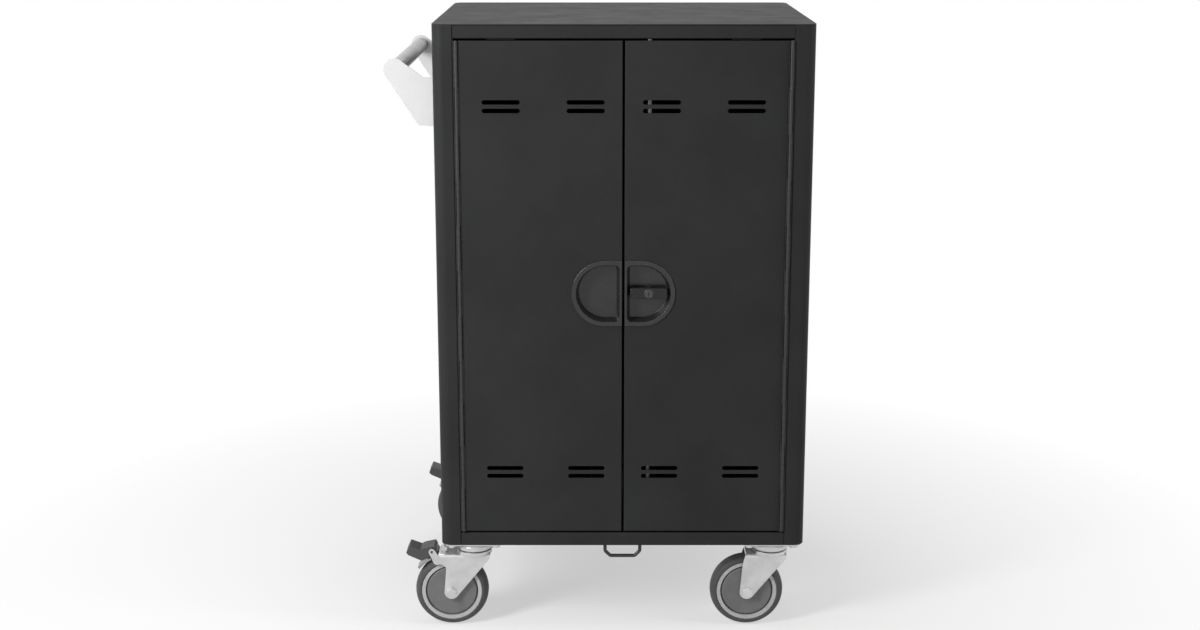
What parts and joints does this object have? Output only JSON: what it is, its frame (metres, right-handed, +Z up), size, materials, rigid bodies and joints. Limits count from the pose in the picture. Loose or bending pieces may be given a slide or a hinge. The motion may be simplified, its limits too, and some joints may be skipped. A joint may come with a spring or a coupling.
{
  "type": "laptop charging cart",
  "caption": "Rolling steel cabinet that stores and charges laptops in upright slots behind two locking doors, with a push handle and braked swivel casters.",
  "frame": {"origin": "on the floor under the centre of the cabinet", "axes": "+Z up, -Y out of the front doors, -X towards the push handle"},
  "size_m": [0.7045, 0.5074, 1.048],
  "materials": {
    "cabinet_paint": "fine-textured powder coat, charcoal black",
    "black_paint": "gloss black enamel",
    "bracket_paint": "light grey powder coat",
    "handle_tube": "satin grey",
    "zinc_plate": "bright zinc plated pressed steel",
    "fastener": "zinc plated",
    "bright_steel": "satin steel",
    "tyre": "matte grey thermoplastic rubber",
    "wheel_core": "grey moulded plastic",
    "black_plastic": "semi-gloss black moulding",
    "pedal": "dark grey moulding"
  },
  "bodies": {
    "cabinet": {"base_panel": "cabinet_paint", "bracket_bolts": "fastener", "caster_bolts": "fastener", "caster_plates": "zinc_plate", "charger_shelf": "cabinet_paint", "door_catches": "black_plastic", "front_bottom_rail": "cabinet_paint", "front_top_rail": "cabinet_paint", "handle_brackets": "bracket_paint", "handle_tube": "handle_tube", "hinge_frame_leaves": "cabinet_paint", "hinge_pins": "bright_steel", "left_side_panel": "cabinet_paint", "lower_shelf": "cabinet_paint", "middle_shelf": "cabinet_paint", "partition_panel": "cabinet_paint", "power_inlet": "black_plastic", "power_strips": "black_plastic", "rear_bottom_rail": "cabinet_paint", "rear_top_rail": "cabinet_paint", "right_side_panel": "cabinet_paint", "security_loop": "black_paint", "slot_dividers": "cabinet_paint", "top_panel": "cabinet_paint"},
    "left_front_door": {"left_door": "cabinet_paint", "left_hinge_leaf": "cabinet_paint", "left_cup": "black_plastic"},
    "right_front_door": {"right_door": "cabinet_paint", "right_hinge_leaf": "cabinet_paint", "right_cup": "black_plastic", "latch_case": "bright_steel"},
    "latch_handle": {"lever_handle": "black_plastic", "pinion": "bright_steel"},
    "key_plug": {"lock_plug": "bright_steel"},
    "upper_rod": {"upper_lock_rod": "bright_steel"},
    "lower_rod": {"lower_lock_rod": "bright_steel"},
    "rear_service_door": {"rear_door": "cabinet_paint", "rear_hinge_leaf": "cabinet_paint", "rear_lock_body": "bright_steel"},
    "rear_cam": {"rear_lock_plug": "bright_steel"},
    "front_left_swivel": {"front_left_fork": "zinc_plate", "front_left_axle": "fastener"},
    "front_left_wheel": {"front_left_tyre": "tyre", "front_left_wheel_core": "wheel_core"},
    "front_left_brake": {"front_left_brake_pedal": "pedal", "front_left_brake_shoe": "zinc_plate"},
    "front_right_swivel": {"front_right_fork": "zinc_plate", "front_right_axle": "fastener"},
    "front_right_wheel": {"front_right_tyre": "tyre", "front_right_wheel_core": "wheel_core"},
    "rear_left_swivel": {"rear_left_fork": "zinc_plate", "rear_left_axle": "fastener"},
    "rear_left_wheel": {"rear_left_tyre": "tyre", "rear_left_wheel_core": "wheel_core"},
    "rear_left_brake": {"rear_left_brake_pedal": "pedal", "rear_left_brake_shoe": "zinc_plate"},
    "rear_right_swivel": {"rear_right_fork": "zinc_plate", "rear_right_axle": "fastener"},
    "rear_right_wheel": {"rear_right_tyre": "tyre", "rear_right_wheel_core": "wheel_core"}
  },
  "joints": [
    {"name": "left_door_hinge", "type": "hinge", "parent": "cabinet", "child": "left_front_door", "pos_m": [-0.27175, -0.251, 0.60245], "axis": [0, 0, -1], "range_deg": [0, 180]},
    {"name": "right_door_hinge", "type": "hinge", "parent": "cabinet", "child": "right_front_door", "pos_m": [0.27175, -0.251, 0.60245], "axis": [0, 0, 1], "range_deg": [0, 180]},
    {"name": "rear_door_hinge", "type": "hinge", "parent": "cabinet", "child": "rear_service_door", "pos_m": [0.27175, 0.251, 0.60245], "axis": [0, 0, -1], "range_deg": [0, 180]},
    {"name": "latch_turn", "type": "hinge", "parent": "right_front_door", "child": "latch_handle", "pos_m": [0.04225, -0.25, 0.6024], "axis": [0, -1, 0], "range_deg": [0, 90]},
    {"name": "upper_rod_slide", "type": "slide", "parent": "right_front_door", "child": "upper_rod", "axis": [0, 0, 1], "range_m": [0, 0.01414]},
    {"name": "lower_rod_slide", "type": "slide", "parent": "right_front_door", "child": "lower_rod", "axis": [0, 0, -1], "range_m": [0, 0.01414]},
    {"name": "key_turn", "type": "hinge", "parent": "latch_handle", "child": "key_plug", "pos_m": [0.04225, -0.25, 0.6024], "axis": [0, -1, 0], "range_deg": [0, 90]},
    {"name": "rear_cam_turn", "type": "hinge", "parent": "rear_service_door", "child": "rear_cam", "pos_m": [-0.25, 0.25, 0.66], "axis": [0, 1, 0], "range_deg": [0, 90]},
    {"name": "front_left_swivel_turn", "type": "hinge", "parent": "cabinet", "child": "front_left_swivel", "pos_m": [-0.257, -0.21, 0.158], "axis": [0, 0, 1], "continuous": true},
    {"name": "front_left_wheel_spin", "type": "hinge", "parent": "front_left_swivel", "child": "front_left_wheel", "pos_m": [-0.297, -0.21, 0.0635], "axis": [0, 1, 0], "continuous": true},
    {"name": "front_left_brake_press", "type": "hinge", "parent": "front_left_swivel", "child": "front_left_brake", "pos_m": [-0.33, -0.21, 0.1375], "axis": [0, -1, 0], "range_deg": [0, 4]},
    {"name": "front_right_swivel_turn", "type": "hinge", "parent": "cabinet", "child": "front_right_swivel", "pos_m": [0.257, -0.21, 0.158], "axis": [0, 0, 1], "continuous": true},
    {"name": "front_right_wheel_spin", "type": "hinge", "parent": "front_right_swivel", "child": "front_right_wheel", "pos_m": [0.217, -0.21, 0.0635], "axis": [0, 1, 0], "continuous": true},
    {"name": "rear_left_swivel_turn", "type": "hinge", "parent": "cabinet", "child": "rear_left_swivel", "pos_m": [-0.257, 0.21, 0.158], "axis": [0, 0, 1], "continuous": true},
    {"name": "rear_left_wheel_spin", "type": "hinge", "parent": "rear_left_swivel", "child": "rear_left_wheel", "pos_m": [-0.297, 0.21, 0.0635], "axis": [0, 1, 0], "continuous": true},
    {"name": "rear_left_brake_press", "type": "hinge", "parent": "rear_left_swivel", "child": "rear_left_brake", "pos_m": [-0.33, 0.21, 0.1375], "axis": [0, -1, 0], "range_deg": [0, 4]},
    {"name": "rear_right_swivel_turn", "type": "hinge", "parent": "cabinet", "child": "rear_right_swivel", "pos_m": [0.257, 0.21, 0.158], "axis": [0, 0, 1], "continuous": true},
    {"name": "rear_right_wheel_spin", "type": "hinge", "parent": "rear_right_swivel", "child": "rear_right_wheel", "pos_m": [0.217, 0.21, 0.0635], "axis": [0, 1, 0], "continuous": true}
  ],
  "couplings": [
    {"joint": "latch_turn", "follows": "upper_rod_slide", "rad_per_m": 111.11},
    {"joint": "lower_rod_slide", "follows": "upper_rod_slide", "ratio": 1}
  ]
}
